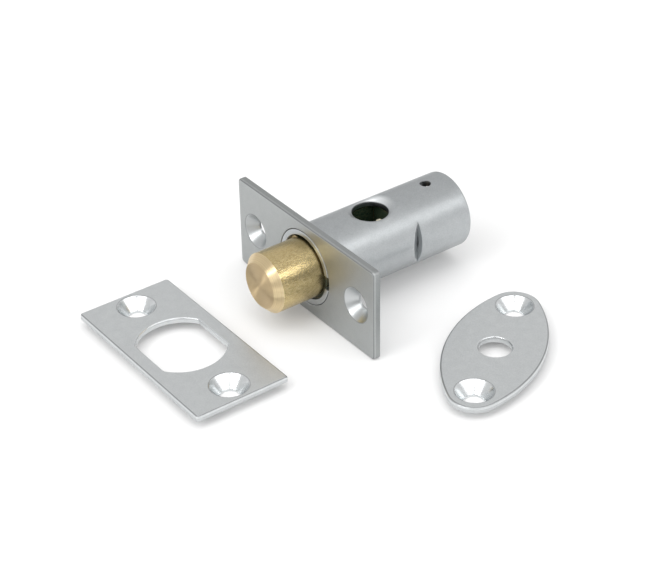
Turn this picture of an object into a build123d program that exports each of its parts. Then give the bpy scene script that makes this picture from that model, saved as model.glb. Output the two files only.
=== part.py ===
from build123d import *
import math
import os

# Window security bolt with its keep plate and key escutcheon.
# Millimetres, +Z up towards the key hole, +Y back along the barrel.
# Origin: centre of the faceplate's front face, on the bolt's axis.
os.makedirs("parts", exist_ok=True)

# Faceplate
face_length = 44.8
face_height = 20.0
face_thickness = 1.5
face_corner_r = 0.9
face_csk_r = 3.65
face_csk_edge = 2.05

# Screw holes, pressed into all three plates
screw_hole_r = 1.85
csk_angle = 77.0
csk_land = 0.4
csk_wall = 0.9
csk_rim_r = 0.35
plate_edge_r = 0.4

# Barrel: steel tube, its front end flush in the faceplate
barrel_r = 8.0
barrel_wall = 1.25
barrel_length = 36.2
barrel_rear_chamfer = 0.4
barrel_front_chamfer = 0.15
barrel_seat_gap = 0.03
notch_width = 3.0
notch_depth = 1.3
vent_hole_r = 1.1
vent_hole_y = 30.45

# Key hole with its dished surround
key_y = 16.4
key_hole_r = 3.7
dish_r = 5.6
dish_depth = 1.45
dish_wall = 1.0

# Stops: a strip on each side of the barrel, sheared at its rear and pressed inwards
stop_front_y = 21.3
stop_rear_y = 23.4
stop_depth = 1.15

# Bolt, in one piece of brass, shown thrown
bolt_throw = 10.7
nose_r = 6.25
nose_chamfer = 1.5
nose_edge_r = 0.15
neck_step = 0.2
neck_front_y = -0.12
bolt_fit = 0.06
moving_gap = 0.3
slot_half_width = 3.8

# Rack teeth in the slot, and the splined key that they are cut for
rack_module = 1.0
rack_pressure_angle = 20.0
rack_root_share = 1.25
rack_teeth = 5
rack_tooth_lead = 0.75
key_splines = 5

# Keep plate
keep_length = 42.1
keep_width = 20.5
keep_thickness = 1.2
keep_corner_r = 0.6
keep_csk_r = 3.85
keep_csk_edge = 0.9
keep_hole_r = 8.9
keep_hole_half_width = 7.3
keep_place = (-1.5, -28.25)

# Escutcheon, an oval of four arcs
oval_length = 39.8
oval_width = 19.4
oval_end_r = 5.2
oval_thickness = 1.3
oval_edge_r = 0.5
oval_csk_r = 3.77
oval_csk_edge = 1.53
oval_key_hole_r = 3.3
oval_place = (35.85, 18.85)
oval_turn = 124.0

# Values worked out from those above
floor_z = -face_height / 2
face_screw_spacing = face_length - 2 * (face_csk_r + face_csk_edge)
keep_screw_spacing = keep_length - 2 * (keep_csk_r + keep_csk_edge)
oval_screw_spacing = oval_length - 2 * (oval_csk_r + oval_csk_edge)
csk_slope = math.tan(math.radians(csk_angle / 2))
csk_side_wall = csk_wall / math.cos(math.radians(csk_angle / 2))
barrel_bore_r = barrel_r - barrel_wall
dish_slope = (dish_r - key_hole_r) / dish_depth
dish_rim_z = barrel_r - dish_depth
dish_under_z = dish_rim_z - dish_wall
tip_y = -bolt_throw
body_r = barrel_bore_r - bolt_fit
flat_x = barrel_bore_r - stop_depth - moving_gap
flat_front_y = stop_front_y - bolt_throw - moving_gap
collar_front_y = stop_rear_y + moving_gap
bolt_rear_y = barrel_length - bolt_throw
top_flat_z = dish_under_z - moving_gap
dish_reach_front = key_hole_r + (nose_r + moving_gap - dish_under_z) * dish_slope
shoulder_y = key_y - dish_reach_front - bolt_throw
top_flat_rear_y = key_y + dish_r + moving_gap
key_pitch_r = rack_module * key_splines / 2
key_space_r = key_pitch_r + rack_module + moving_gap
slot_front_y = key_y - bolt_throw - key_space_r
slot_rear_y = key_y + key_space_r
rack_pitch = math.pi * rack_module
rack_slope = math.tan(math.radians(rack_pressure_angle))
rack_tip_x = key_pitch_r - rack_module
rack_root_x = key_pitch_r + rack_root_share * rack_module
rack_tip_half = rack_pitch / 4 - rack_module * rack_slope
rack_root_half = rack_pitch / 4 + rack_root_share * rack_module * rack_slope
past = 1.0


def csk_depth(csk_r):
    """Depth of the screw hole's inner lip below the plate's front face."""
    return (csk_r - screw_hole_r) / csk_slope


def dimple_depth(csk_r):
    """Depth of the pressed dimple's end below the plate's front face."""
    return csk_depth(csk_r) + csk_land


def dimple(csk_r, thickness):
    """Cone that the countersink pushes out behind a plate."""
    Cone(
        bottom_radius=csk_r - thickness * csk_slope + csk_side_wall,
        top_radius=csk_r - dimple_depth(csk_r) * csk_slope + csk_side_wall,
        height=dimple_depth(csk_r) - thickness,
        align=(Align.CENTER, Align.CENTER, Align.MIN),
    )


# Faceplate: rounded plate, two pressed countersinks, round hole for the barrel
face_back = Plane(origin=(0, face_thickness, 0), x_dir=(1, 0, 0), z_dir=(0, 1, 0))
with BuildPart() as faceplate:
    with BuildSketch(Plane.XZ):
        RectangleRounded(face_length, face_height, face_corner_r)
    extrude(amount=-face_thickness)
    with Locations(face_back):
        with GridLocations(face_screw_spacing, 0, 2, 1):
            dimple(face_csk_r, face_thickness)
    with Locations(Plane.XZ):
        with GridLocations(face_screw_spacing, 0, 2, 1):
            CounterSinkHole(screw_hole_r, face_csk_r, counter_sink_angle=csk_angle)
    face_front = faceplate.faces().filter_by(Axis.Y).sort_by(Axis.Y)[0]
    fillet(face_front.inner_wires().edges(), csk_rim_r)
    face_front = faceplate.faces().filter_by(Axis.Y).sort_by(Axis.Y)[0]
    fillet(face_front.outer_wire().edges(), plate_edge_r)
    with Locations(Plane.XZ):
        Hole(barrel_r + barrel_seat_gap)
faceplate.part.label = "faceplate"
export_step(faceplate.part, "parts/faceplate.step")

# Space inside the barrel: the bore, less the dish and the two stops that reach into it
along_barrel = Plane(origin=(0, 0, 0), x_dir=(1, 0, 0), z_dir=(0, 1, 0))
with BuildPart() as bore_space:
    with BuildSketch(along_barrel):
        Circle(barrel_bore_r)
    extrude(amount=barrel_length)
    with Locations((0, key_y, dish_under_z)):
        Cone(
            bottom_radius=key_hole_r,
            top_radius=dish_r,
            height=dish_depth,
            align=(Align.CENTER, Align.CENTER, Align.MIN),
            mode=Mode.SUBTRACT,
        )
    with BuildSketch(Plane.XY):
        with BuildLine():
            Polyline(
                (barrel_bore_r, stop_front_y),
                (barrel_bore_r - stop_depth, stop_rear_y),
                (barrel_bore_r + past, stop_rear_y),
                (barrel_bore_r + past, stop_front_y),
                close=True,
            )
        make_face()
        mirror(about=Plane.YZ)
    extrude(amount=barrel_bore_r, both=True, mode=Mode.SUBTRACT)

# Barrel: tube with the key hole in its dish, vent hole, front notch and two stops
with BuildPart() as barrel:
    with BuildSketch(Plane.XY):
        with BuildLine():
            Polyline(
                (0, 0),
                (barrel_r - barrel_front_chamfer, 0),
                (barrel_r, barrel_front_chamfer),
                (barrel_r, barrel_length - barrel_rear_chamfer),
                (barrel_r - barrel_rear_chamfer, barrel_length),
                (0, barrel_length),
                close=True,
            )
        make_face()
    revolve(axis=Axis.Y)
    add(bore_space.part, mode=Mode.SUBTRACT)
    with Locations((0, key_y, dish_rim_z)):
        Cone(
            bottom_radius=key_hole_r,
            top_radius=dish_r + past * dish_slope,
            height=dish_depth + past,
            align=(Align.CENTER, Align.CENTER, Align.MIN),
            mode=Mode.SUBTRACT,
        )
    with Locations((0, key_y, barrel_r)):
        Hole(key_hole_r, depth=barrel_r)
    with Locations((0, vent_hole_y, barrel_r)):
        Hole(vent_hole_r, depth=barrel_r)
    with Locations((barrel_r, 0, 0)):
        Box(2 * barrel_wall + past, 2 * notch_depth, notch_width, mode=Mode.SUBTRACT)
    with BuildSketch(Plane.XY):
        with BuildLine():
            Polyline(
                (barrel_r, stop_front_y),
                (barrel_r - stop_depth, stop_rear_y),
                (barrel_r + past, stop_rear_y),
                (barrel_r + past, stop_front_y),
                close=True,
            )
        make_face()
        mirror(about=Plane.YZ)
    extrude(amount=barrel_r, both=True, mode=Mode.SUBTRACT)
barrel.part.label = "barrel"
export_step(barrel.part, "parts/barrel.step")

# Bolt: turned nose, body and collar, then the flats, the slot and its rack teeth
slot_outline = [(-slot_half_width, slot_front_y), (rack_root_x, slot_front_y)]
for tooth in range(rack_teeth):
    tooth_y = key_y + rack_tooth_lead - (rack_teeth - 1 - tooth) * rack_pitch
    slot_outline.append((rack_root_x, tooth_y - rack_root_half))
    slot_outline.append((rack_tip_x, tooth_y - rack_tip_half))
    slot_outline.append((rack_tip_x, tooth_y + rack_tip_half))
    slot_outline.append((rack_root_x, tooth_y + rack_root_half))
slot_outline.append((rack_root_x, slot_rear_y))
slot_outline.append((-slot_half_width, slot_rear_y))

with BuildPart() as bolt:
    with BuildSketch(Plane.XY):
        with BuildLine():
            Polyline(
                (0, tip_y),
                (nose_r - nose_chamfer, tip_y),
                (nose_r, tip_y + nose_chamfer),
                (nose_r, neck_front_y),
                (nose_r - neck_step, neck_front_y),
                (nose_r - neck_step, shoulder_y),
                (body_r, shoulder_y),
                (body_r, bolt_rear_y),
                (0, bolt_rear_y),
                close=True,
            )
        make_face()
    revolve(axis=Axis.Y)
    nose_edges = bolt.edges().filter_by(GeomType.CIRCLE).group_by(Axis.Y)[0:2]
    fillet(nose_edges[0] + nose_edges[1], nose_edge_r)
    with BuildSketch(Plane.XZ.offset(-flat_front_y)):
        Rectangle(2 * (body_r + past), 2 * body_r)
        Rectangle(2 * flat_x, 2 * body_r, mode=Mode.SUBTRACT)
    extrude(amount=flat_front_y - collar_front_y, mode=Mode.SUBTRACT)
    with BuildSketch(Plane.XY.offset(top_flat_z)):
        with Locations((0, (shoulder_y + top_flat_rear_y) / 2)):
            Rectangle(2 * body_r, top_flat_rear_y - shoulder_y)
    extrude(amount=body_r, mode=Mode.SUBTRACT)
    with BuildSketch(Plane.XY):
        with BuildLine():
            Polyline(*slot_outline, close=True)
        make_face()
    extrude(amount=body_r, both=True, mode=Mode.SUBTRACT)
bolt.part.label = "bolt"
export_step(bolt.part, "parts/bolt.step")

# Keep plate, lying on the ends of its dimples
keep_top = Plane(origin=(*keep_place, floor_z + dimple_depth(keep_csk_r)))
with BuildPart() as keep_plate:
    with BuildSketch(keep_top):
        RectangleRounded(keep_length, keep_width, keep_corner_r)
    extrude(amount=-keep_thickness)
    with Locations(Plane(keep_top.offset(-keep_thickness).origin, x_dir=(1, 0, 0), z_dir=(0, 0, -1))):
        with GridLocations(keep_screw_spacing, 0, 2, 1):
            dimple(keep_csk_r, keep_thickness)
    with Locations(keep_top):
        with GridLocations(keep_screw_spacing, 0, 2, 1):
            CounterSinkHole(screw_hole_r, keep_csk_r, counter_sink_angle=csk_angle)
    keep_face = keep_plate.faces().filter_by(Axis.Z).sort_by(Axis.Z)[-1]
    fillet(keep_face.inner_wires().edges(), csk_rim_r)
    with BuildSketch(keep_top):
        Circle(keep_hole_r)
        Rectangle(2 * keep_hole_r, 2 * keep_hole_half_width, mode=Mode.INTERSECT)
    extrude(amount=-keep_thickness, mode=Mode.SUBTRACT)
    keep_face = keep_plate.faces().filter_by(Axis.Z).sort_by(Axis.Z)[-1]
    fillet(keep_face.outer_wire().edges(), plate_edge_r)
keep_plate.part.label = "keep_plate"
export_step(keep_plate.part, "parts/keep_plate.step")

# Escutcheon, lying on the ends of its dimples
half_length = oval_length / 2
half_width = oval_width / 2
end_centre_x = half_length - oval_end_r
side_r = (end_centre_x**2 + half_width**2 - oval_end_r**2) / (2 * (half_width - oval_end_r))
join_x = end_centre_x * side_r / (side_r - oval_end_r)
join_y = half_width - side_r + math.sqrt(side_r**2 - join_x**2)
oval_direction = (math.cos(math.radians(oval_turn)), math.sin(math.radians(oval_turn)), 0)
oval_top = Plane(
    origin=(*oval_place, floor_z + dimple_depth(oval_csk_r)),
    x_dir=oval_direction,
    z_dir=(0, 0, 1),
)
with BuildPart() as escutcheon:
    with BuildSketch(oval_top):
        with BuildLine():
            ThreePointArc((-join_x, join_y), (0, half_width), (join_x, join_y))
            ThreePointArc((join_x, join_y), (half_length, 0), (join_x, -join_y))
            ThreePointArc((join_x, -join_y), (0, -half_width), (-join_x, -join_y))
            ThreePointArc((-join_x, -join_y), (-half_length, 0), (-join_x, join_y))
        make_face()
    extrude(amount=-oval_thickness)
    with Locations(Plane(oval_top.offset(-oval_thickness).origin, x_dir=oval_direction, z_dir=(0, 0, -1))):
        with GridLocations(oval_screw_spacing, 0, 2, 1):
            dimple(oval_csk_r, oval_thickness)
    with Locations(oval_top):
        with GridLocations(oval_screw_spacing, 0, 2, 1):
            CounterSinkHole(screw_hole_r, oval_csk_r, counter_sink_angle=csk_angle)
    oval_face = escutcheon.faces().filter_by(Axis.Z).sort_by(Axis.Z)[-1]
    fillet(oval_face.inner_wires().edges(), csk_rim_r)
    with Locations(oval_top):
        Hole(oval_key_hole_r)
    oval_face = escutcheon.faces().filter_by(Axis.Z).sort_by(Axis.Z)[-1]
    fillet(oval_face.outer_wire().edges(), oval_edge_r)
escutcheon.part.label = "escutcheon"
export_step(escutcheon.part, "parts/escutcheon.step")
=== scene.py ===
import math

import bmesh
import bpy
import numpy as np
from mathutils import Matrix, Vector
from mathutils.geometry import delaunay_2d_cdt


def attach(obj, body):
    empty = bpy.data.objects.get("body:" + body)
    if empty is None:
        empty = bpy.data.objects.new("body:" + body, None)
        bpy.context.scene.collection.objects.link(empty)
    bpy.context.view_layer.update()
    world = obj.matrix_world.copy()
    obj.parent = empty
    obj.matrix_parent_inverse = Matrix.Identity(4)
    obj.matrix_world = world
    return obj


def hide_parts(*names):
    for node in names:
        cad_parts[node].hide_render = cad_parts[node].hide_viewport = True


# Window security bolt: satin plated faceplate, barrel, keep plate and escutcheon, and a brass bolt.
# Metres, the barrel's axis along Y, the key hole upwards, the floor at z = -0.010.
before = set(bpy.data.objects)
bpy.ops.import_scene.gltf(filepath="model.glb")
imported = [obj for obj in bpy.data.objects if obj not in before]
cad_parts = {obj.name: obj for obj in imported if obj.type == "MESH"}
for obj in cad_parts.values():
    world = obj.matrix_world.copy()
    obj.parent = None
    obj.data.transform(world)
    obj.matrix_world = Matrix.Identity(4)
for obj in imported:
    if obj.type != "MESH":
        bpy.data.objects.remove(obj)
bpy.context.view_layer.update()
mm = 0.001
floorHeight = -0.010
print("frame loaded:", sorted(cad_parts))


# A new node with its settings and its inputs, by name or as i0, i1 and so on by number
def place(tree, kind, settings=None, **inputs):
    node = tree.nodes.new(kind)
    for name, value in (settings or {}).items():
        setattr(node, name, value)
    for name, value in inputs.items():
        numbered = name[0] == "i" and name[1:].isdigit()
        socket = node.inputs[int(name[1:])] if numbered else node.inputs[name.replace("_", " ")]
        if isinstance(value, bpy.types.NodeSocket):
            tree.links.new(value, socket)
        else:
            socket.default_value = value
    return node


def calc(tree, operation, *values):
    inputs = {f"i{k}": value for k, value in enumerate(values)}
    return place(tree, "ShaderNodeMath", {"operation": operation}, **inputs).outputs[0]


# All the values multiplied
def product(tree, first, *others):
    for other in others:
        first = calc(tree, "MULTIPLY", first, other)
    return first


def oneMinus(tree, value):
    return calc(tree, "SUBTRACT", 1.0, value)


def remap(tree, value, fromLow, fromHigh, toLow, toHigh):
    inputs = {"i0": value, "i1": fromLow, "i2": fromHigh, "i3": toLow, "i4": toHigh}
    return place(tree, "ShaderNodeMapRange", None, **inputs).outputs[0]


def vectorCalc(tree, operation, first, second=(0, 0, 0)):
    return place(tree, "ShaderNodeVectorMath", {"operation": operation}, i0=first, i1=second).outputs


# Mix of two colours, the first where the mask is 0 and the second where it is 1
def tint(tree, mask, dark, light):
    mix = place(tree, "ShaderNodeMix", {"data_type": "RGBA"})
    tree.links.new(mask, mix.inputs[0])
    for k, colour in ((6, dark), (7, light)):
        if isinstance(colour, bpy.types.NodeSocket):
            tree.links.new(colour, mix.inputs[k])
        else:
            mix.inputs[k].default_value = (*colour, 1)
    return mix.outputs[2]


def objectCoords(tree):
    return place(tree, "ShaderNodeTexCoord").outputs["Object"]


# The point's coordinates, its offset from the Y axis as a vector and its distance from that axis
def fromAxis(tree):
    spot = place(tree, "ShaderNodeSeparateXYZ", None, Vector=objectCoords(tree))
    across = place(tree, "ShaderNodeCombineXYZ", None, X=spot.outputs["X"], Z=spot.outputs["Z"]).outputs[0]
    return spot.outputs, across, vectorCalc(tree, "LENGTH", across)["Value"]


def newGroup(name, inputs, outputs):
    group = bpy.data.node_groups.new(name, "ShaderNodeTree")
    for label, default in inputs.items():
        socket = group.interface.new_socket(label, in_out="INPUT", socket_type="NodeSocketFloat")
        socket.default_value = default
    for label in outputs:
        group.interface.new_socket(label, in_out="OUTPUT", socket_type="NodeSocketFloat")
    return group, group.nodes.new("NodeGroupInput"), group.nodes.new("NodeGroupOutput")


def useGroup(tree, group, **inputs):
    return place(tree, "ShaderNodeGroup", {"node_tree": group}, **inputs)


# Worn edges: where the normal of a small rounding leaves the surface's own normal, broken up by noise
def buildEdgeWear():
    group, gin, gout = newGroup("edgeWear", {"Radius": 0.0003, "Patchiness": 0.4}, ["Edge"])
    bevel = place(group, "ShaderNodeBevel", {"samples": 6}, Radius=gin.outputs["Radius"])
    own = place(group, "ShaderNodeNewGeometry")
    alike = vectorCalc(group, "DOT_PRODUCT", bevel.outputs[0], own.outputs["Normal"])["Value"]
    edge = remap(group, alike, 0.995, 0.85, 0.0, 1.0)
    patches = place(group, "ShaderNodeTexNoise", None, Vector=objectCoords(group), Scale=900.0, Detail=3.0)
    broken = remap(group, patches.outputs[0], 0.35, 0.65, 0.0, 1.0)
    keep = oneMinus(group, product(group, gin.outputs["Patchiness"], broken))
    group.links.new(product(group, edge, keep), gout.inputs["Edge"])
    return group


# Satin grain: fine blasted speckle, a softer mottle and long smudges, sizes in millimetres
def buildSatinGrain():
    group, gin, gout = newGroup("satinGrain", {"Speckle Size": 0.12, "Mottle Size": 2.5},
                                ["Speckle", "Mottle", "Smudge"])
    coords = objectCoords(group)
    speckle = place(group, "ShaderNodeTexNoise", None, Vector=coords, Detail=2.0,
                    Scale=calc(group, "DIVIDE", 1000.0, gin.outputs["Speckle Size"]))
    mottle = place(group, "ShaderNodeTexNoise", None, Vector=coords, Detail=4.0, Roughness=0.55,
                   Scale=calc(group, "DIVIDE", 1000.0, gin.outputs["Mottle Size"]))
    smudge = place(group, "ShaderNodeTexNoise", None, Vector=coords, Scale=70.0, Detail=3.0, Distortion=1.2)
    group.links.new(remap(group, speckle.outputs[0], 0.3, 0.7, 0.0, 1.0), gout.inputs["Speckle"])
    group.links.new(remap(group, mottle.outputs[0], 0.3, 0.7, 0.0, 1.0), gout.inputs["Mottle"])
    group.links.new(remap(group, smudge.outputs[0], 0.35, 0.65, 0.0, 1.0), gout.inputs["Smudge"])
    return group


# Turning marks: noise along the distance from the Y axis, so it runs in rings round the bolt
def buildTurnedRings():
    group, gin, gout = newGroup("turnedRings", {"Spacing": 0.15}, ["Rings", "Facing"])
    _, _, radius = fromAxis(group)
    step = calc(group, "DIVIDE", product(group, radius, 1000.0), gin.outputs["Spacing"])
    rings = place(group, "ShaderNodeTexNoise", {"noise_dimensions": "1D"}, W=step, Scale=1.0, Detail=3.0)
    normal = place(group, "ShaderNodeNewGeometry").outputs["Normal"]
    group.links.new(rings.outputs[0], gout.inputs["Rings"])
    group.links.new(vectorCalc(group, "DOT_PRODUCT", normal, (0, -1, 0))["Value"], gout.inputs["Facing"])
    return group


# Drawn skin: streaks along Y and small pits, as on drawn bar, the cell in millimetres
def buildDrawnSkin():
    group, gin, gout = newGroup("drawnSkin", {"Cell": 0.35, "Stretch": 4.0}, ["Streaks", "Pits"])
    coords = objectCoords(group)
    shorter = calc(group, "DIVIDE", 1.0, gin.outputs["Stretch"])
    squeeze = place(group, "ShaderNodeCombineXYZ", None, X=1.0, Y=shorter, Z=1.0)
    along = vectorCalc(group, "MULTIPLY", coords, squeeze.outputs[0])["Vector"]
    streaks = place(group, "ShaderNodeTexNoise", None, Vector=along, Detail=3.0,
                    Scale=calc(group, "DIVIDE", 1000.0, gin.outputs["Cell"]))
    pits = place(group, "ShaderNodeTexNoise", None, Vector=coords, Detail=2.0,
                 Scale=calc(group, "DIVIDE", 2200.0, gin.outputs["Cell"]))
    group.links.new(streaks.outputs[0], gout.inputs["Streaks"])
    group.links.new(remap(group, pits.outputs[0], 0.55, 0.75, 0.0, 1.0), gout.inputs["Pits"])
    return group


# Painted shade from ambient occlusion where little light reaches: inside the tube, in the slot and at the
# bolt's root
def buildInnerGrime():
    group, gin, gout = newGroup("innerGrime", {"Reach": 0.004, "From": 0.35, "To": 0.05}, ["Grime"])
    lit = place(group, "ShaderNodeAmbientOcclusion", {"samples": 8}, Distance=gin.outputs["Reach"])
    patches = place(group, "ShaderNodeTexNoise", None, Vector=objectCoords(group), Scale=1400.0, Detail=3.0)
    level = calc(group, "ADD", lit.outputs["AO"], remap(group, patches.outputs[0], 0.3, 0.7, -0.06, 0.06))
    aoShade = remap(group, level, gin.outputs["From"], gin.outputs["To"], 0.0, 1.0)
    group.links.new(aoShade, gout.inputs["Grime"])
    return group


# Inner side of the tube: where the surface faces the Y axis, nearer to it than the limit and behind the rim
def buildTubeInside():
    group, gin, gout = newGroup("tubeInside", {"Limit": 0.0072}, ["Inside"])
    spot, across, radius = fromAxis(group)
    outward = vectorCalc(group, "NORMALIZE", across)["Vector"]
    normal = place(group, "ShaderNodeNewGeometry").outputs["Normal"]
    facing = vectorCalc(group, "DOT_PRODUCT", normal, outward)["Value"]
    near = calc(group, "LESS_THAN", radius, gin.outputs["Limit"])
    behind = remap(group, spot["Y"], 0.0020, 0.0040, 0.0, 1.0)
    inwards = remap(group, facing, -0.1, -0.5, 0.0, 1.0)
    group.links.new(product(group, inwards, near, behind), gout.inputs["Inside"])
    return group


edgeWear = buildEdgeWear()
satinGrain = buildSatinGrain()
turnedRings = buildTurnedRings()
drawnSkin = buildDrawnSkin()
innerGrime = buildInnerGrime()
tubeInside = buildTubeInside()
print("node groups built")


def newMaterial(name, **fixed):
    material = bpy.data.materials.new(name)
    material.use_nodes = True
    shader = material.node_tree.nodes["Principled BSDF"]
    for socket, value in fixed.items():
        shader.inputs[socket.replace("_", " ")].default_value = value
    return material, material.node_tree, shader


# Where the grease and painted shade lie thick the surface is less of a metal
def dulledMetal(tree, greaseAndShade):
    return remap(tree, greaseAndShade, 0.3, 0.9, 1.0, 0.45)


# Satin plating on steel: grain in tone and roughness, brighter where the press burnished it, at worn edges
# and where a highlight is painted. The burnishAndPaintedLight attribute is above 0 where polished and where a
# highlight is painted, and below 0 where shade is painted.
def platedSteel(name, look):
    material, tree, shader = newMaterial(name, Metallic=1.0)
    grain = useGroup(tree, satinGrain, Speckle_Size=look["speckle"], Mottle_Size=look["mottle"]).outputs
    wear = useGroup(tree, edgeWear, Radius=look["edge"], Patchiness=0.5).outputs["Edge"]
    aoShade = useGroup(tree, innerGrime, Reach=look["shadeReach"], From=0.45, To=0.15).outputs["Grime"]
    inside = useGroup(tree, tubeInside).outputs["Inside"]
    burnishAndPaintedLight = place(tree, "ShaderNodeAttribute", {"attribute_name": "burnishAndPaintedLight"}).outputs["Fac"]
    burnishedAndLit = calc(tree, "MAXIMUM", burnishAndPaintedLight, 0.0)
    paintedShade = calc(tree, "MAXIMUM", product(tree, burnishAndPaintedLight, -1.0), 0.0)

    tone = calc(tree, "ADD", product(tree, grain["Mottle"], look["mottleTone"]),
                product(tree, grain["Speckle"], look["speckleTone"]))
    colour = tint(tree, tone, look["dark"], look["light"])
    colour = tint(tree, product(tree, wear, look["wear"]), colour, look["bare"])
    # Bare where burnished and where a highlight is painted, dark where shade is painted
    colour = tint(tree, product(tree, burnishedAndLit, look["burnishAndPaintedLight"]), colour, look["bare"])
    colour = tint(tree, paintedShade, colour, look["paintedShade"])
    # Painted shade in hollows and inside the bore, in a dark green grease colour, where old grease lies too
    greaseAndShade = calc(tree, "MAXIMUM", product(tree, aoShade, look["aoShade"]), product(tree, inside, look["inside"]))
    tree.links.new(tint(tree, greaseAndShade, colour, look["greaseAndShade"]), shader.inputs["Base Color"])
    tree.links.new(dulledMetal(tree, greaseAndShade), shader.inputs["Metallic"])

    rough = remap(tree, grain["Smudge"], 0.0, 1.0, *look["rough"])
    rough = calc(tree, "SUBTRACT", rough, product(tree, wear, look["wearSmoother"]))
    rough = calc(tree, "SUBTRACT", rough, product(tree, burnishedAndLit, look["smoother"]))
    tree.links.new(rough, shader.inputs["Roughness"])

    height = calc(tree, "ADD", product(tree, grain["Speckle"], 0.3), grain["Mottle"])
    bump = place(tree, "ShaderNodeBump", None, Strength=look["bump"], Distance=0.00002, Height=height)
    tree.links.new(bump.outputs[0], shader.inputs["Normal"])
    return material


# Speckle and mottle in millimetres, edge and shadeReach in metres; burnishAndPaintedLight and smoother say
# how much barer and smoother the polished places and the painted highlights are, aoShade and inside how thick
# the painted shade and grease lie in hollows and inside the bore
keepLook = {
    "dark": (0.61, 0.63, 0.635), "light": (0.73, 0.75, 0.755), "bare": (0.80, 0.82, 0.83),
    "paintedShade": (0.16, 0.165, 0.17), "greaseAndShade": (0.026, 0.044, 0.032),
    "speckle": 0.22, "mottle": 1.8, "speckleTone": 0.65, "mottleTone": 0.35, "rough": (0.40, 0.46),
    "bump": 0.20, "edge": 0.00025, "wear": 0.3, "wearSmoother": 0.06, "burnishAndPaintedLight": 0.45, "smoother": 0.21,
    "aoShade": 0.0, "shadeReach": 0.002, "inside": 0.0}
# The faceplate is set darker than the keep plate: painted shade, standing in for the shaded floor its face
# reflects
faceLook = {
    **keepLook, "dark": (0.38, 0.395, 0.395), "light": (0.45, 0.465, 0.46), "bare": (0.64, 0.66, 0.67),
    "burnishAndPaintedLight": 0.5, "smoother": 0.12}
barrelLook = {
    **keepLook, "dark": (0.42, 0.44, 0.45), "light": (0.52, 0.54, 0.55), "bare": (0.84, 0.86, 0.87),
    "paintedShade": (0.06, 0.065, 0.07), "speckle": 0.24, "mottle": 1.6, "rough": (0.38, 0.44), "bump": 0.6,
    "edge": 0.00020, "wear": 0.2, "burnishAndPaintedLight": 0.9, "smoother": 0.06,
    "aoShade": 0.15, "shadeReach": 0.004, "inside": 0.9}
keepSteel = platedSteel("satinKeep", keepLook)
faceSteel = platedSteel("satinFace", faceLook)
barrelSteel = platedSteel("satinBarrel", barrelLook)


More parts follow.
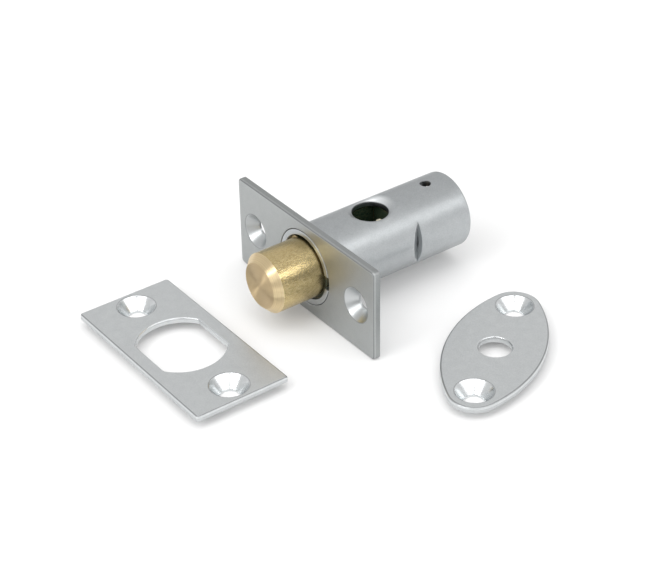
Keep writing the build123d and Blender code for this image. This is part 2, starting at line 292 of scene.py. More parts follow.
# Brass bar: turned ends and chamfer, drawn and slightly pitted side, old grease and painted shade from the
# tube's rim back, and a painted glint on the rack's tooth tips, which the key rubs clean
def turnedBrass(name, look):
    material, tree, shader = newMaterial(name, Metallic=1.0, Anisotropic=look["anisotropic"],
                                         Anisotropic_Rotation=look["grainTurn"])
    rings = useGroup(tree, turnedRings, Spacing=look["ringSpacing"]).outputs
    skin = useGroup(tree, drawnSkin, Cell=look["cell"], Stretch=look["stretch"]).outputs
    wear = useGroup(tree, edgeWear, Radius=0.0002, Patchiness=0.3).outputs["Edge"]
    shade = useGroup(tree, innerGrime, Reach=look["shadeReach"], From=0.55, To=0.15).outputs["Grime"]
    aoShade = useGroup(tree, innerGrime, Reach=look["shadeReach"], From=0.26, To=0.08).outputs["Grime"]
    spot = place(tree, "ShaderNodeSeparateXYZ", None, Vector=objectCoords(tree)).outputs
    endwards = calc(tree, "ABSOLUTE", rings["Facing"])
    facing = remap(tree, endwards, 0.3, 0.6, 0.0, 1.0)  # ends and chamfer
    middle = remap(tree, endwards, 0.80, 0.95, 0.0, 1.0)  # the flat ends alone

    side = tint(tree, skin["Streaks"], look["sideDark"], look["sideLight"])
    side = tint(tree, product(tree, skin["Pits"], look["pits"]), side, look["pit"])
    end = tint(tree, rings["Rings"], look["endDark"], look["endLight"])
    # Painted shade: the flat end darker and redder than the chamfer
    end = tint(tree, product(tree, middle, look["flatShade"]), end, look["endFlatShade"])
    colour = tint(tree, facing, side, end)
    colour = tint(tree, product(tree, wear, look["wear"]), colour, look["edge"])
    # Painted shade: ambient occlusion darkens the brass towards a golden brown (root) at the root and in the
    # slot
    colour = tint(tree, product(tree, shade, look["rootShadeTint"]), colour, look["root"])

    # Painted shade under the front rim, darker towards the bottom; further back old grease and painted shade
    # all over, thin on the rear face and on worn edges
    shadedBelow = product(tree, remap(tree, spot["Y"], *look["shadedBelowY"], 0.0, 1.0),
                       remap(tree, spot["Z"], *look["shadedBelowZ"], 0.0, 1.0))
    greasedAndShaded = calc(tree, "MAXIMUM", shadedBelow, remap(tree, spot["Y"], *look["darkBehindY"], 0.0, 1.0))
    greasedAndShaded = product(tree, greasedAndShaded, remap(tree, skin["Streaks"], 0.35, 0.65, *look["streaked"]),
                     remap(tree, rings["Facing"], -0.9, -0.7, look["rearDarkening"], 1.0))
    greaseAndShade = calc(tree, "MAXIMUM", greasedAndShaded, product(tree, aoShade, look["aoShade"]))
    greaseAndShade = product(tree, greaseAndShade, oneMinus(tree, product(tree, wear, look["wearCleans"])))
    # Painted glint: the rack's tooth tips, rubbed clean by the key, are tinted a pale cream
    rubbedGlint = product(tree, remap(tree, spot["X"], *look["tipsFromX"], 0.0, 1.0),
                     remap(tree, spot["X"], *look["tipsToX"], 1.0, 0.0),
                     remap(tree, spot["Z"], *look["tipsFromZ"], 0.0, 1.0),
                     remap(tree, spot["Y"], *look["tipsFromY"], 0.0, 0.95),
                     remap(tree, spot["Y"], *look["tipsToY"], 1.0, 0.0))
    greaseAndShade = product(tree, greaseAndShade, oneMinus(tree, rubbedGlint))
    colour = tint(tree, rubbedGlint, colour, look["rubbedGlint"])
    tree.links.new(tint(tree, greaseAndShade, colour, look["shadeAndGreaseColour"]), shader.inputs["Base Color"])
    tree.links.new(dulledMetal(tree, greaseAndShade), shader.inputs["Metallic"])

    tangent = place(tree, "ShaderNodeTangent", {"direction_type": "RADIAL", "axis": "Y"})
    tree.links.new(tangent.outputs[0], shader.inputs["Tangent"])
    roughSide = remap(tree, skin["Streaks"], 0.3, 0.7, *look["roughSide"])
    roughEnd = remap(tree, rings["Rings"], 0.3, 0.7, *look["roughEnd"])
    roughEnd = calc(tree, "ADD", roughEnd, product(tree, middle, look["flatRougher"]))
    rough = calc(tree, "ADD", product(tree, roughEnd, facing),
                 product(tree, roughSide, oneMinus(tree, facing)))
    tree.links.new(rough, shader.inputs["Roughness"])

    height = calc(tree, "ADD", product(tree, rings["Rings"], facing, look["ringDepth"]),
                  product(tree, skin["Streaks"], oneMinus(tree, facing), look["skinDepth"]))
    bump = place(tree, "ShaderNodeBump", None, Strength=look["bump"], Distance=0.00005, Height=height)
    tree.links.new(bump.outputs[0], shader.inputs["Normal"])
    return material


# Cell and ringSpacing in millimetres, shadeReach in metres; pits to wearCleans are strengths, and the pairs
# from shadedBelowY down are places in metres, from none to full
brassLook = {
    "sideDark": (0.46, 0.34, 0.13), "sideLight": (0.80, 0.66, 0.38), "pit": (0.26, 0.19, 0.08),
    "endDark": (0.56, 0.42, 0.23), "endLight": (0.92, 0.76, 0.48), "endFlatShade": (0.55, 0.39, 0.22),
    "edge": (0.90, 0.76, 0.50), "root": (0.28, 0.20, 0.055), "shadeAndGreaseColour": (0.012, 0.040, 0.024),
    "rubbedGlint": (0.90, 0.85, 0.68),
    "cell": 0.35, "stretch": 2.0, "ringSpacing": 0.12, "ringDepth": 0.6, "skinDepth": 1.5, "bump": 0.8,
    "roughSide": (0.18, 0.26), "roughEnd": (0.28, 0.40), "flatRougher": 0.05,
    "anisotropic": 0.98, "grainTurn": 0.25, "shadeReach": 0.006,
    "pits": 0.5, "flatShade": 0.4, "wear": 0.5, "rootShadeTint": 0.8, "streaked": (0.995, 0.92),
    "rearDarkening": 0.12, "aoShade": 0.97, "wearCleans": 0.9,
    "shadedBelowY": (-0.0010, 0.0008), "shadedBelowZ": (0.0030, 0.0), "darkBehindY": (0.0010, 0.0024),
    "tipsFromX": (0.0013, 0.0015), "tipsToX": (0.0030, 0.0036), "tipsFromZ": (0.0026, 0.0034),
    "tipsFromY": (0.0024, 0.0030), "tipsToY": (0.0188, 0.0192)}
boltBrass = turnedBrass("turnedBrass", brassLook)

for nodeName, material in {"faceplate": faceSteel, "keep_plate": keepSteel, "escutcheon": keepSteel,
                           "barrel": barrelSteel, "bolt": boltBrass}.items():
    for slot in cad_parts[nodeName].material_slots:
        slot.material = material
print("materials assigned")


# A sheet is a grid of points, (rows, columns, 3) in millimetres, with quads between its neighbours.
# wrap joins the last row to the first, keep leaves quads out, burnishAndPaintedLight marks what the press
# polished and where light or shade is painted.
def sheet(points, wrap=False, wrapColumns=False, keep=None, burnishAndPaintedLight=0.0):
    rows, columns = points.shape[:2]
    index = np.arange(rows * columns).reshape(rows, columns)
    if wrap:
        index = np.concatenate([index, index[:1]])
    if wrapColumns:
        index = np.concatenate([index, index[:, :1]], axis=1)
    quads = np.stack([index[:-1, :-1], index[1:, :-1], index[1:, 1:], index[:-1, 1:]], axis=-1)
    quads = quads[keep] if keep is not None else quads.reshape(-1, 4)
    return points.reshape(-1, 3), quads, np.broadcast_to(burnishAndPaintedLight, (rows, columns)).reshape(-1)


# Sheets become one welded mesh, faces outwards, edges sharper than the angle kept crisp
def makePiece(name, sheets, material, body, node, crispAngle=32.0):
    starts = np.cumsum([0] + [len(points) for points, _, _ in sheets])
    points = np.concatenate([points for points, _, _ in sheets]) * mm
    faces = [face for (_, quads, _), start in zip(sheets, starts) for face in (quads + start).tolist()]
    mesh = bpy.data.meshes.new(name)
    mesh.from_pydata(points.tolist(), [], faces)
    polishAndPaintedLight = mesh.attributes.new("burnishAndPaintedLight", "FLOAT", "POINT")
    polishAndPaintedLight.data.foreach_set("value", np.concatenate([burnishAndPaintedLight for _, _, burnishAndPaintedLight in sheets]).astype(np.float32))
    work = bmesh.new()
    work.from_mesh(mesh)
    bmesh.ops.remove_doubles(work, verts=work.verts, dist=2e-6)
    bmesh.ops.dissolve_degenerate(work, edges=work.edges, dist=1e-6)
    bmesh.ops.recalc_face_normals(work, faces=work.faces)
    openEdges = sum(1 for edge in work.edges if len(edge.link_faces) != 2)
    work.to_mesh(mesh)
    work.free()
    mesh.shade_smooth()
    mesh.set_sharp_from_angle(angle=math.radians(crispAngle))
    mesh.materials.append(material)
    piece = bpy.data.objects.new(name, mesh)
    bpy.context.scene.collection.objects.link(piece)
    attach(piece, body)
    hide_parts(node)
    print(f"{name}: {len(mesh.polygons)} faces, {openEdges} open edges")


# Lesser of two heights with the corner between them rounded over the width given
def softMin(first, second, width):
    share = np.clip(0.5 + 0.5 * (second - first) / width, 0, 1)
    return second * (1 - share) + first * share - width * share * (1 - share)


# Quarter round from (1, 0) to (0, 1), in the given number of steps
def quarterRound(steps):
    angle = np.linspace(0, math.pi / 2, steps + 1)
    return np.cos(angle), np.sin(angle)


# Barrel, in millimetres. A patch is the part of the grid that a hole's rays replace, in degrees and along Y.
# notchColumn is the grid's column at the notch's side, and from notchSpread on the columns are even again.
barrelShape = {
    "radius": 8.0, "bore": 6.75, "length": 36.2, "columns": 120,
    "rearRound": 0.40, "boreRound": 0.15, "frontRound": 0.26,
    "keyY": 16.4, "keyRadius": 3.7, "dishRadius": 5.6, "dishDepth": 1.45, "dishWall": 1.0, "dishBlend": 0.55,
    "stopFront": 21.3, "stopRear": 23.4, "stopDepth": 1.15, "stopThinning": 0.3, "stopBlend": 0.22,
    "notchHalf": 1.5, "notchDepth": 1.3, "notchColumn": 12, "notchSpread": 30,
    "ventY": 30.45, "ventRadius": 1.1, "rimRound": 0.12,
    "keyPatch": {"angles": (36, 144), "ys": (9.8, 23.0), "reach": 6.2, "circles": 22, "dished": True},
    "ventPatch": {"angles": (75, 105), "ys": (28.2, 32.7), "reach": 1.9, "circles": 6, "dished": False},
    # grooveShade is painted shade in the crease at the front rim, rimShade and wallShade painted shade on the
    # holes' rims and walls, dishHighlight with highlightTowards a painted highlight on the dish's rear left,
    # and stopLighter paints the pressed stops lighter for the light their rough ramps catch
    "ringPolish": 0.05, "grooveShade": -0.9, "grooveY": (0.1, 0.36), "stopLighter": 0.3,
    "rimShade": -0.5, "wallShade": -0.95, "dishHighlight": (0.12, 0.83), "highlightTowards": (-0.62, 0.78)}


# Height of the tube's skin over the plan point (x, y): the circle's height, or the dish's cone if lower
def topHeight(x, y, radius, drop):
    s = barrelShape
    rim = s["radius"] - s["dishDepth"] - drop
    slope = s["dishDepth"] / (s["dishRadius"] - s["keyRadius"])
    cone = rim + (np.hypot(x, y - s["keyY"]) - s["keyRadius"]) * slope
    blend = s["dishBlend"] - 0.3 * (drop > 0)  # tighter on the inner skin
    return softMin(np.sqrt(np.maximum(radius**2 - x**2, 0)), cone, blend)


# Skin of the tube over (angle, y): a circle, flattened at the sides by the stops and on top by the dish
def tubeSkin(angle, y, radius, pressed):
    s = barrelShape
    outer, inner = radius > s["radius"] - 0.1, radius < s["radius"] - 0.9
    drop = np.where(inner, s["dishWall"], 0.0)
    x, z = radius * np.cos(angle), radius * np.sin(angle)
    ramp = (y - s["stopFront"]) / (s["stopRear"] - s["stopFront"])
    thinned = np.where(outer, s["stopThinning"], 0.0) * np.clip(2 * ramp, -1, 1)
    side = softMin(np.abs(x), radius - s["stopDepth"] * ramp - thinned, s["stopBlend"])
    side = np.where(pressed & (ramp > -0.4) & (ramp < 1.01), side, np.abs(x))
    near = (z > 0) & (np.abs(y - s["keyY"]) < s["dishRadius"] + 1.2)
    top = np.where(near, np.minimum(topHeight(x, y, radius, drop), np.abs(z)), z)
    return np.stack([np.sign(x) * side, y, top], axis=-1)


# Between the limits, with the limits themselves taken in
def inRange(values, low, high):
    return (values >= low - 1e-9) & (values <= high + 1e-9)


# Grid points round a patch, as (angle, y), once round
def patchBorder(angles, ys):
    first, last = np.full_like(ys, angles[0]), np.full_like(ys, angles[-1])
    front, back = np.full_like(angles, ys[0]), np.full_like(angles, ys[-1])
    sides = [np.stack([angles, front]), np.stack([last, ys]),
             np.stack([angles[::-1], back]), np.stack([first, ys[::-1]])]
    return np.concatenate([side[:, :-1] for side in sides], axis=1).T


# A round hole in the tube's top: rays run from the patch's border in to the hole, down its wall and out
# again under the skin, so the rays' ends weld to the grid. The dish carries a painted highlight, a bright
# crescent that grows with the cube of the direction towards the rear left; the hole's rim and wall carry
# painted shade.
def tubeHole(patch, stations, yCentre, holeRadius):
    s = barrelShape
    angles = np.radians(np.arange(patch["angles"][0], patch["angles"][1] + 1, 360 / s["columns"]))
    border = patchBorder(angles, np.unique(stations[inRange(stations, *patch["ys"])]))
    rim = s["rimRound"]
    cosine, sine = quarterRound(4)

    def oneSkin(radius, dishDrop):
        outer = dishDrop == 0
        x, y = radius * np.cos(border[:, 0]), border[:, 1]
        around = np.arctan2(y - yCentre, x)[:, None]
        ray = np.stack([np.cos(around), np.sin(around)], axis=-1)
        lastCircle = min(patch["reach"], 0.96 * radius * math.cos(angles.min()))
        circles = holeRadius + rim + (lastCircle - holeRadius - rim) * np.linspace(0, 1, patch["circles"])
        inner = ray * circles[None, :, None] + (0, yCentre)
        blend = np.linspace(0, 1, 5)[1:, None]
        toBorder = inner[:, -1:] * (1 - blend) + np.stack([x, y], axis=-1)[:, None] * blend
        plan = np.concatenate([inner, toBorder], axis=1)
        height = np.sqrt(radius**2 - plan[..., 0]**2)
        if patch["dished"]:
            height = topHeight(plan[..., 0], plan[..., 1], radius, dishDrop)
        skin = np.dstack([plan, height])
        skin[:, -1] = tubeSkin(border[:, 0], y, np.full(len(y), radius), np.full(len(y), False))
        edge = ray * (holeRadius + rim * (1 - cosine[None, ::-1, None])) + (0, yCentre)
        sink = rim * (1 - sine[::-1]) * outer
        edge = np.dstack([edge, skin[:, :1, 2] - sink[None]])
        return skin, edge[:, 1:] if outer else edge[:, -1:]

    outerSkin, outerEdge = oneSkin(s["radius"], 0.0)
    innerSkin, innerEdge = oneSkin(s["bore"], s["dishWall"])
    points = np.concatenate([outerSkin[:, ::-1], outerEdge, innerEdge, innerSkin], axis=1)
    x, y = points[..., 0], points[..., 1] - yCentre
    fromHole = np.hypot(x, y)
    rearLeft = np.clip((s["highlightTowards"][1] * y + s["highlightTowards"][0] * x) / np.maximum(fromHole, 0.1), 0, 1)
    polishAndPaintedLight = np.clip((s["dishRadius"] - 0.2 - fromHole) / 0.8, 0, 1) * patch["dished"]  # none past the dish
    polishAndPaintedLight = polishAndPaintedLight * (s["dishHighlight"][0] + s["dishHighlight"][1] * rearLeft**3)
    rimStart, rimEnd = outerSkin.shape[1], outerSkin.shape[1] + outerEdge.shape[1]
    # Painted shade on the hole's rounded rim, darker still down its wall
    polishAndPaintedLight[:, rimStart:rimEnd] = s["rimShade"]
    polishAndPaintedLight[:, rimEnd:] = s["wallShade"]
    return sheet(points, wrap=True, burnishAndPaintedLight=polishAndPaintedLight)


# Walls of the notch: the grid's rows at its two sides and along its bottom, joined from outer to inner skin
def notchWalls(points, bearings, ys, rows):
    s = barrelShape
    sheets = []
    low = np.flatnonzero(ys <= s["notchDepth"] + 1e-9)
    around = np.concatenate([low[low >= rows], low[low < rows]])
    for column in np.flatnonzero(np.isclose(np.abs(bearings), s["notchColumn"])):
        wall = points[column, around]
        half = len(wall) // 2
        sheets.append(sheet(np.stack([wall[:half], wall[::-1][:half]])))
    bottom = np.flatnonzero(np.isclose(ys, s["notchDepth"]))
    span = sorted(np.flatnonzero(np.abs(bearings) < s["notchColumn"] + 0.01), key=lambda k: bearings[k])
    return sheets + [sheet(points[span][:, bottom])]


# The tube's profile runs back along the outer skin, round the rear rim, forward along the bore and round the
# front rim, and is turned about the Y axis. The notch is left out, and both holes bring their own patches.
def buildBarrel():
    s = barrelShape
    columnStep = 360 / s["columns"]
    bearings = np.arange(s["columns"]) * columnStep
    bearings = np.where(bearings > 180, bearings - 360, bearings)
    keyFront, keyRear = s["keyPatch"]["ys"]
    ventFront, ventRear = s["ventPatch"]["ys"]
    stations = np.concatenate([
        [0.35, 0.6, 0.9], np.linspace(s["notchDepth"], keyFront, 12),
        np.linspace(keyFront, 21.2, 20)[1:], np.linspace(21.2, keyRear, 13)[1:],  # closer at the stops
        [23.2, s["stopRear"], s["stopRear"], 23.8],  # the stops' cut ends are steps
        np.linspace(24.6, ventFront, 5), np.linspace(ventFront, ventRear, 8)[1:],
        np.linspace(ventRear, 35.6, 5)[1:]])
    pressed = np.arange(len(stations)) <= np.flatnonzero(stations == s["stopRear"])[0]  # to the step
    cosine, sine = quarterRound(5)
    front, rear, inner = s["frontRound"], s["rearRound"], s["boreRound"]
    radii = np.concatenate([
        np.full(len(stations), s["radius"]), s["radius"] - rear * (1 - cosine), [7.3, 7.0],
        s["bore"] + inner * (1 - sine), np.full(len(stations), s["bore"]), s["bore"] + front * (1 - cosine),
        [7.2, 7.5], s["radius"] - front * (1 - sine)])
    ys = np.concatenate([
        stations, s["length"] - rear * (1 - sine), [s["length"]] * 2, s["length"] - inner * (1 - cosine),
        stations[::-1], front * (1 - sine), [0, 0], front * (1 - cosine)])
    rimRows = np.zeros(len(ys) // 2 - len(stations), bool)
    press = np.concatenate([pressed, rimRows, pressed[::-1], rimRows])

    column, spread = s["notchColumn"], s["notchSpread"]
    notchAngle = np.degrees(np.arcsin(s["notchHalf"] / radii))[None]
    size = np.abs(bearings)[:, None]
    share = (size - column) / (spread - column)
    warped = np.where(size < spread, notchAngle + share * (spread - notchAngle), size)
    warped = np.where(size <= column, size * notchAngle / column, warped)
    angles = np.radians(np.sign(bearings)[:, None] * warped)
    points = tubeSkin(angles, *(np.broadcast_to(values, angles.shape) for values in (ys, radii, press)))

    middle = bearings + columnStep / 2
    middle = np.where(middle > 180, middle - 360, middle)[:, None]
    rowLow, rowHigh = np.minimum(ys, np.roll(ys, -1))[None], np.maximum(ys, np.roll(ys, -1))[None]
    skinRow = (np.abs(radii - np.roll(radii, -1)) < 1e-9)[None]
    leftOut = (np.abs(middle) < column) & (rowHigh <= s["notchDepth"] + 1e-9)
    for patch in (s["keyPatch"], s["ventPatch"]):
        inRows = inRange(rowLow, *patch["ys"]) & inRange(rowHigh, *patch["ys"])
        leftOut = leftOut | (skinRow & inRange(middle, *patch["angles"]) & inRows)

    outerRow = radii > s["radius"] - 0.1
    # Bare front end; painted shade in the crease behind the front rim; the pressed stops painted lighter for
    # the light their rough ramps catch
    polishAndPaintedLight = np.where((ys < 0.02) & ~outerRow, s["ringPolish"], 0.0)
    polishAndPaintedLight = polishAndPaintedLight + s["grooveShade"] * (outerRow & inRange(ys, *s["grooveY"]))
    pushed = (np.abs(radii * np.cos(angles)) - np.abs(points[..., 0]) > 0.02) & (radii > 7)
    polishAndPaintedLight = polishAndPaintedLight[None] + s["stopLighter"] * pushed
    sheets = [sheet(points, wrap=True, wrapColumns=True, keep=~leftOut, burnishAndPaintedLight=polishAndPaintedLight),
              tubeHole(s["keyPatch"], stations, s["keyY"], s["keyRadius"]),
              tubeHole(s["ventPatch"], stations, s["ventY"], s["ventRadius"])]
    sheets += notchWalls(points, bearings, ys, len(stations))
    makePiece("barrelTube", sheets, barrelSteel, "case", "barrel")


buildBarrel()


# Closed paths in a plate's own plane, anticlockwise, in millimetres. Each is made of arcs: the centre plus
# the radius times the cosine and sine of the angles.
def arc(centre, radius, angles):
    return centre + radius * np.stack([np.cos(angles), np.sin(angles)], axis=1)


# Rectangle with rounded corners
def rectanglePath(length, width, cornerRadius):
    corner = np.linspace(0, math.pi / 2, 9)
    x, y = length / 2 - cornerRadius, width / 2 - cornerRadius
    centres = [(x, y), (-x, y), (-x, -y), (x, -y)]
    runs = [arc(centre, cornerRadius, corner + k * math.pi / 2) for k, centre in enumerate(centres)]
    return fillGaps(np.concatenate(runs))


# Oval of four arcs: two ends of the given radius and two long sides that meet them in line
def ovalPath(length, width, endRadius):
    centre = length / 2 - endRadius
    sideRadius = (centre**2 + (width / 2)**2 - endRadius**2) / (2 * (width / 2 - endRadius))
    turn = math.asin(centre / (sideRadius - endRadius))
    endRun = arc((centre, 0), endRadius, np.linspace(turn - math.pi / 2, math.pi / 2 - turn, 40))
    sideAngles = np.linspace(math.pi / 2 - turn, math.pi / 2 + turn, 60)
    sideRun = arc((0, width / 2 - sideRadius), sideRadius, sideAngles)
    return np.concatenate([endRun[:-1], sideRun[:-1], -endRun[:-1], -sideRun[:-1]])


# Circle with its two sides cut flat
def flattedCirclePath(radius, halfWidth):
    turn = math.asin(halfWidth / radius)
    right = arc((0, 0), radius, np.linspace(-turn, turn, 41))
    return fillGaps(np.concatenate([right, -right]))


def circlePath(radius, count=72):
    return arc((0, 0), radius, np.arange(count) * 2 * math.pi / count)


# Long straight runs get points about every 1.2 mm
def fillGaps(path, step=1.2):
    ahead = np.roll(path, -1, axis=0)
    parts = [np.linspace(a, b, max(1, int(np.hypot(*(b - a)) / step)) + 1)[:-1] for a, b in zip(path, ahead)]
    return np.concatenate(parts)


# Outward direction at each point, lengthened at corners so that an offset keeps its width
def outwards(path):
    ahead, behind = np.roll(path, -1, axis=0) - path, path - np.roll(path, 1, axis=0)
    ahead /= np.linalg.norm(ahead, axis=1)[:, None]
    behind /= np.linalg.norm(behind, axis=1)[:, None]
    first, second = np.stack([behind[:, 1], -behind[:, 0]], 1), np.stack([ahead[:, 1], -ahead[:, 0]], 1)
    return (first + second) / (1 + np.sum(first * second, axis=1))[:, None]


# Profile (offset along the directions, height) carried along a closed path
def band(path, directions, profile, burnishAndPaintedLight):
    plan = path[:, None] + directions[:, None] * profile[None, :, :1]
    height = np.broadcast_to(profile[None, :, 1:], (*plan.shape[:2], 1))
    return sheet(np.concatenate([plan, height], axis=2), wrap=True, burnishAndPaintedLight=burnishAndPaintedLight)


# Sheared edge: rounded at the front, a little at the back, a flat strip at both ends of the profile
def edgeProfile(roundWidth, roundDepth, thickness, inwards, strip=0.12, burr=0.08):
    cosine, sine = quarterRound(6)
    out = -1 if inwards else 1
    profile = [(-out * (roundWidth + strip), 0)]
    profile += [(-out * roundWidth * (1 - s), -roundDepth * (1 - c)) for c, s in zip(cosine, sine)]
    profile += [(0, -roundDepth - 0.08), (0, -roundDepth - 0.25)]
    profile += [(-out * burr * (1 - c), -thickness + burr * (1 - s)) for c, s in zip(cosine[::2], sine[::2])]
    return np.array(profile + [(-out * (burr + strip), -thickness)])


# Screw hole: rounded rim, cone, lip, land and the dimple's outside, as (radius, height) from the hole's axis,
# with each point's value: painted shade on the rim, the press's burnish on the cone
def screwProfile(s):
    half = math.radians(s["coneAngle"] / 2)
    slope, lean = math.tan(half), math.pi / 2 - half
    cone, hole, depth, rim = s["coneRadius"], s["holeRadius"], s["thickness"], s["rimRound"]
    rimStart = cone + rim * math.tan(lean / 2)
    lip = (cone - hole) / slope
    end = lip + s["land"]
    wall = s["coneWall"] / math.cos(half)
    foot, root = cone - end * slope + wall, cone - depth * slope + wall
    profile = [(rimStart + 0.08, 0)]
    profile += [(rimStart - rim * math.sin(a), rim * (math.cos(a) - 1)) for a in np.linspace(0, lean, 7)]
    profile += [(hole + 0.10, -lip + 0.10 / slope), (hole + 0.02, -lip + 0.01), (hole, -lip - 0.08)]
    profile += [(hole, -end + 0.05), (hole + 0.05, -end)]
    profile += [(foot - 0.06, -end), (foot + 0.03, -end + 0.08), (root - 0.02, -depth - 0.08)]
    profile += [(root + 0.10, -depth), (root + 0.35, -depth)]
    polishAndPaintedLight = np.zeros(len(profile))
    polishAndPaintedLight[2:5] = s["rimShade"]
    polishAndPaintedLight[5:11] = s["conePolish"]
    return np.array(profile), polishAndPaintedLight


# Odd count of crossings to the right of a point means that it is inside the loop
def within(points, loop):
    first, second = loop[None], np.roll(loop, -1, axis=0)[None]
    x, y = points[:, None, 0], points[:, None, 1]
    spans = (first[..., 1] > y) != (second[..., 1] > y)
    rise = np.where(spans, second[..., 1] - first[..., 1], 1.0)
    crossing = first[..., 0] + (second[..., 0] - first[..., 0]) * (y - first[..., 1]) / rise
    return (spans & (x < crossing)).sum(axis=1) % 2 == 1


# Flat between an outer loop and the loops inside it
def flat(loops, height):
    count = [len(loop) for loop in loops]
    starts = np.cumsum([0] + count)
    edges = [(a + k, a + (k + 1) % n) for a, n in zip(starts, count) for k in range(n)]
    points, _, faces, *_ = delaunay_2d_cdt([Vector(p) for p in np.concatenate(loops)], edges, [], 0, 1e-5)
    points, faces = np.array([tuple(p) for p in points]), np.array(faces)
    middle = points[faces].mean(axis=1)
    keep = within(middle, loops[0]) & ~np.any([within(middle, loop) for loop in loops[1:]], axis=0)
    return np.c_[points, np.full(len(points), height)], faces[keep], np.zeros(len(points))


# Pressed plates, in millimetres: what all share, then each one. A list of painted light and shade follows its
# edge's profile from the front to the back: above 0 a painted highlight, below 0 painted shade, such as the
# dark lines along the rounded edges and the dark wall of the faceplate's opening.
pressShape = {
    "holeRadius": 1.85, "coneAngle": 77.0, "land": 0.4, "coneWall": 0.9, "rimRound": 0.35,
    "openingRound": (0.30, 0.28), "rimShade": -0.5, "conePolish": 1.0,
    "edgeLightAndShade": [0, 0.3, -0.2, -0.75, -0.45, 0.1, 0.35, 0.15, -0.2, -0.2, -0.2, -0.25, -0.4, -0.6, 0],
    "openingLightAndShade": [0, 0, 0.5, 0.8, 0.9, 0.9, 0.7, 0.1, -0.3, 0, 0, 0, -0.3, -0.6, 0]}
ovalTurn = math.radians(124)
plateShapes = {
    "facePlate": {
        "node": "faceplate", "thickness": 1.5, "edgeRound": 0.4, "coneRadius": 3.65, "spacing": 33.4,
        "outline": rectanglePath(44.8, 20.0, 0.9),
        "opening": circlePath(8.03, 120), "openingRound": (0.20, 0.22),
        "openingLightAndShade": [0, 0, 0.1, 0.1, 0, -0.3, -0.6, -0.9, -0.9, -0.9, -0.9, -0.9, -0.9, -0.9, 0],
        "origin": (0, 0, 0), "along": (1, 0, 0), "across": (0, 0, 1)},
    "keepPlate": {
        "node": "keep_plate", "thickness": 1.2, "edgeRound": 0.4, "coneRadius": 3.85, "spacing": 32.6,
        "outline": rectanglePath(42.1, 20.5, 0.6), "opening": flattedCirclePath(8.9, 7.3),
        "origin": (-1.5, -28.25, 0), "along": (1, 0, 0), "across": (0, 1, 0)},
    "keyEscutcheon": {
        "node": "escutcheon", "thickness": 1.3, "edgeRound": 0.5, "coneRadius": 3.77, "spacing": 29.2,
        "outline": ovalPath(39.8, 19.4, 5.2), "opening": circlePath(3.3), "origin": (35.85, 18.85, 0),
        "along": (math.cos(ovalTurn), math.sin(ovalTurn), 0),
        "across": (-math.sin(ovalTurn), math.cos(ovalTurn), 0)},
}


# Edge and opening are bands along their paths, the screw holes are turned, and two flats close front and
# back. The loose plates stand on the ends of their dimples.
def buildPlate(name, shape, material):
    s = {**pressShape, **shape}
    outline, opening, ring = s["outline"], s["opening"], circlePath(1.0)
    outlineOut, openingOut = outwards(outline), outwards(opening)
    edge = edgeProfile(s["edgeRound"], s["edgeRound"], s["thickness"], inwards=False)
    openingEdge = edgeProfile(*s["openingRound"], s["thickness"], inwards=True)
    screw, screwPolish = screwProfile(s)
    centres = [np.array((side * s["spacing"] / 2, 0)) for side in (-1, 1)]
    sheets = [band(outline, outlineOut, edge, s["edgeLightAndShade"]),
              band(opening, openingOut, openingEdge, s["openingLightAndShade"])]
    sheets += [band(np.broadcast_to(centre, ring.shape), ring, screw, screwPolish) for centre in centres]
    for end, height in ((0, 0.0), (-1, -s["thickness"])):
        loops = [outline + outlineOut * edge[end, 0], opening + openingOut * openingEdge[end, 0]]
        loops += [centre + ring * screw[end, 0] for centre in centres]
        sheets.append(flat(loops, height))

    lift = 0.0
    if s["node"] != "faceplate":
        slope = math.tan(math.radians(s["coneAngle"] / 2))
        lift = floorHeight / mm + (s["coneRadius"] - s["holeRadius"]) / slope + s["land"]
    turn = np.stack([s["along"], s["across"], np.cross(s["along"], s["across"])])
    placed = [(points @ turn + s["origin"] + (0, 0, lift), faces, polishAndPaintedLight) for points, faces, polishAndPaintedLight in sheets]
    makePiece(name, placed, material, "case", s["node"])


for plateName, plateShape in plateShapes.items():
    buildPlate(plateName, plateShape, faceSteel if plateName == "facePlate" else keepSteel)


# Studio: floorLift is the floor's own light towards the camera and reflections, sky values are strengths and
# heights, the seam is a dark gap between the walls and back is the dimmer wall opposite it
studio = {"floorHalf": 3.0, "floorColour": 0.62, "floorLift": 0.14,
          "skyLow": 0.95, "skyHigh": 0.75, "skyFrom": 0.10, "skyTo": 0.30,
          "seamAzimuth": -36.0, "seamHalf": 0.10, "seamDepth": 0.95, "backTop": 0.12, "backDepth": 0.6}


# Floor: pale, a little of its own light towards the camera and reflections, shadows kept
def buildFloor():
    half = studio["floorHalf"]
    mesh = bpy.data.meshes.new("floor")
    corners = [(x * half, y * half, floorHeight) for x, y in ((-1, -1), (1, -1), (1, 1), (-1, 1))]
    mesh.from_pydata(corners, [], [(0, 1, 2, 3)])
    floor = bpy.data.objects.new("floor", mesh)
    bpy.context.scene.collection.objects.link(floor)
    colour = (*[studio["floorColour"]] * 3, 1)
    material, tree, shader = newMaterial("paleFloor", Base_Color=colour, Roughness=0.9,
                                         Specular_IOR_Level=0.0, Emission_Color=(1, 1, 1, 1))
    rays = place(tree, "ShaderNodeLightPath").outputs
    seen = calc(tree, "MAXIMUM", rays["Is Camera Ray"], rays["Is Glossy Ray"])
    seen = calc(tree, "MAXIMUM", seen, rays["Is Transmission Ray"])
    tree.links.new(product(tree, seen, studio["floorLift"]), shader.inputs["Emission Strength"])
    mesh.materials.append(material)


# Unit vector of a compass direction, from +X towards +Y, and an elevation, both in degrees
def bearing(azimuth, elevation):
    azimuth, elevation = math.radians(azimuth), math.radians(elevation)
    level = math.cos(elevation)
    return Vector((math.cos(azimuth) * level, math.sin(azimuth) * level, math.sin(elevation)))


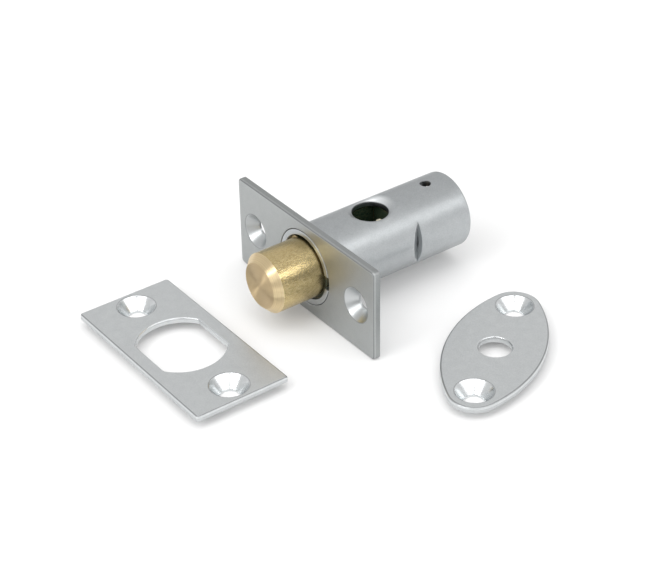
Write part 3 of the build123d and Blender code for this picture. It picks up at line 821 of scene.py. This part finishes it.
# Studio walls: white up to a height, dimmer overhead; the camera itself sees white
def buildSky():
    world = bpy.data.worlds.new("studio")
    bpy.context.scene.world = world
    world.use_nodes = True
    tree = world.node_tree
    background = tree.nodes["Background"]
    direction = place(tree, "ShaderNodeTexCoord").outputs["Generated"]
    up = place(tree, "ShaderNodeSeparateXYZ", None, Vector=direction).outputs["Z"]
    towards = studio["seamAzimuth"]

    def facing(azimuth):
        return vectorCalc(tree, "DOT_PRODUCT", direction, bearing(azimuth, 0))["Value"]

    beside = calc(tree, "ABSOLUTE", facing(towards + 90))
    seam = product(tree, remap(tree, beside, studio["seamHalf"], studio["seamHalf"] + 0.04, 1.0, 0.0),
                   remap(tree, facing(towards), 0.15, 0.3, 0.0, 1.0), studio["seamDepth"])
    back = product(tree, remap(tree, facing(towards + 180), 0.55, 0.85, 0.0, 1.0),
                   remap(tree, up, studio["backTop"], studio["backTop"] + 0.12, 1.0, 0.0),
                   studio["backDepth"])
    level = remap(tree, up, studio["skyFrom"], studio["skyTo"], studio["skyLow"], studio["skyHigh"])
    level = product(tree, level, oneMinus(tree, seam), oneMinus(tree, back))
    rays = place(tree, "ShaderNodeLightPath")
    tree.links.new(calc(tree, "MAXIMUM", level, rays.outputs["Is Camera Ray"]), background.inputs["Strength"])
    background.inputs["Color"].default_value = (1, 1, 1, 1)


# Softboxes: at is the compass direction, the elevation and the distance, size is width and height, and power
# the brightness of the face. The unseen ones light the floor and leave the metal to the walls.
softboxes = {
    "overhead": {"at": (125, 89, 1.0), "size": (1.40, 1.40), "power": 1.0, "unseen": True},
    "bandRight": {"at": (36, 37, 0.9), "size": (0.40, 0.34), "power": 1.5, "unseen": False},
    "cardRight": {"at": (-5, 40, 0.9), "size": (0.72, 0.34), "power": 1.8, "unseen": False},
    "frontTop": {"at": (-36, 74, 0.9), "size": (0.40, 0.28), "power": 2.2, "unseen": False},
    "cardLeft": {"at": (-69, 40, 0.9), "size": (0.78, 0.34), "power": 1.7, "unseen": False},
    "spotLeft": {"at": (-84, 33, 0.9), "size": (0.15, 0.15), "power": 14.0, "unseen": False},
    "wallSide": {"at": (-105, 50, 1.0), "size": (0.45, 0.45), "power": 3.0, "unseen": True},
}


def buildSoftboxes():
    for name, box in softboxes.items():
        azimuth, elevation, distance = box["at"]
        width, height = box["size"]
        towards = bearing(azimuth, elevation)
        data = bpy.data.lights.new(name, "AREA")
        data.shape = "RECTANGLE"
        data.size, data.size_y = width, height
        data.energy = box["power"] * math.pi * width * height
        lamp = bpy.data.objects.new(name, data)
        bpy.context.scene.collection.objects.link(lamp)
        lamp.location = towards * distance
        lamp.rotation_euler = towards.to_track_quat("Z", "Y").to_euler()
        lamp.visible_glossy = not box["unseen"]


# Camera: seen from the front right, above, by the compass direction and elevation it looks from
shot = {"azimuth": -36.27, "elevation": 34.13, "roll": -0.875, "distance": 0.38468,
        "target": (-0.001084, 0.007596, -0.010), "lens": 103.13, "sensor": 36.0}


def buildCamera():
    back = bearing(shot["azimuth"], shot["elevation"])
    right = bearing(shot["azimuth"] + 90, 0)
    roll = math.radians(shot["roll"])
    tiltedRight = math.cos(roll) * right + math.sin(roll) * back.cross(right)
    data = bpy.data.cameras.new("camera")
    data.lens, data.sensor_width = shot["lens"], shot["sensor"]
    camera = bpy.data.objects.new("camera", data)
    bpy.context.scene.collection.objects.link(camera)
    turn = Matrix((tiltedRight, back.cross(tiltedRight), back)).transposed().to_4x4()
    camera.matrix_world = Matrix.Translation(Vector(shot["target"]) + back * shot["distance"]) @ turn
    bpy.context.scene.camera = camera


buildFloor()
buildSky()
buildSoftboxes()
buildCamera()
bpy.context.scene.view_settings.view_transform = "Standard"
print("studio ready")
